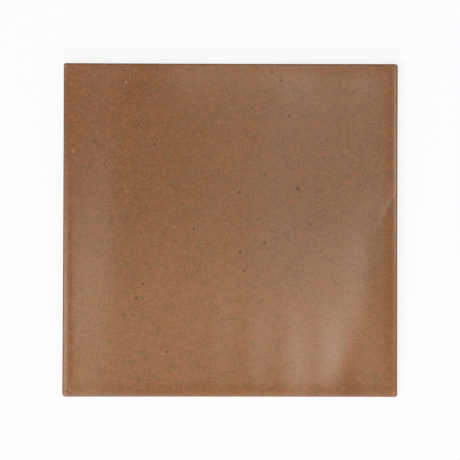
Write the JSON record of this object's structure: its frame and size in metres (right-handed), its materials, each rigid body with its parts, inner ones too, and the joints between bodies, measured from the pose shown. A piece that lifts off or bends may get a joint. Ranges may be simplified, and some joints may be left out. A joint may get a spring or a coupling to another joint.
{
  "type": "porcelain tile",
  "caption": "Square porcelain floor tile with a gently swelling terracotta-look satin face, rolled rim, slightly uneven edges and a keyed back, for floors and walls.",
  "frame": {"origin": "middle of the back, in the plane of the back's ribs", "axes": "+Z out of the face, +X to the right of the face, +Y to its top"},
  "size_m": [0.2, 0.199, 0.0103],
  "materials": {
    "glaze": "satin"
  },
  "bodies": {
    "root": {"tile": "glaze"}
  },
  "joints": []
}
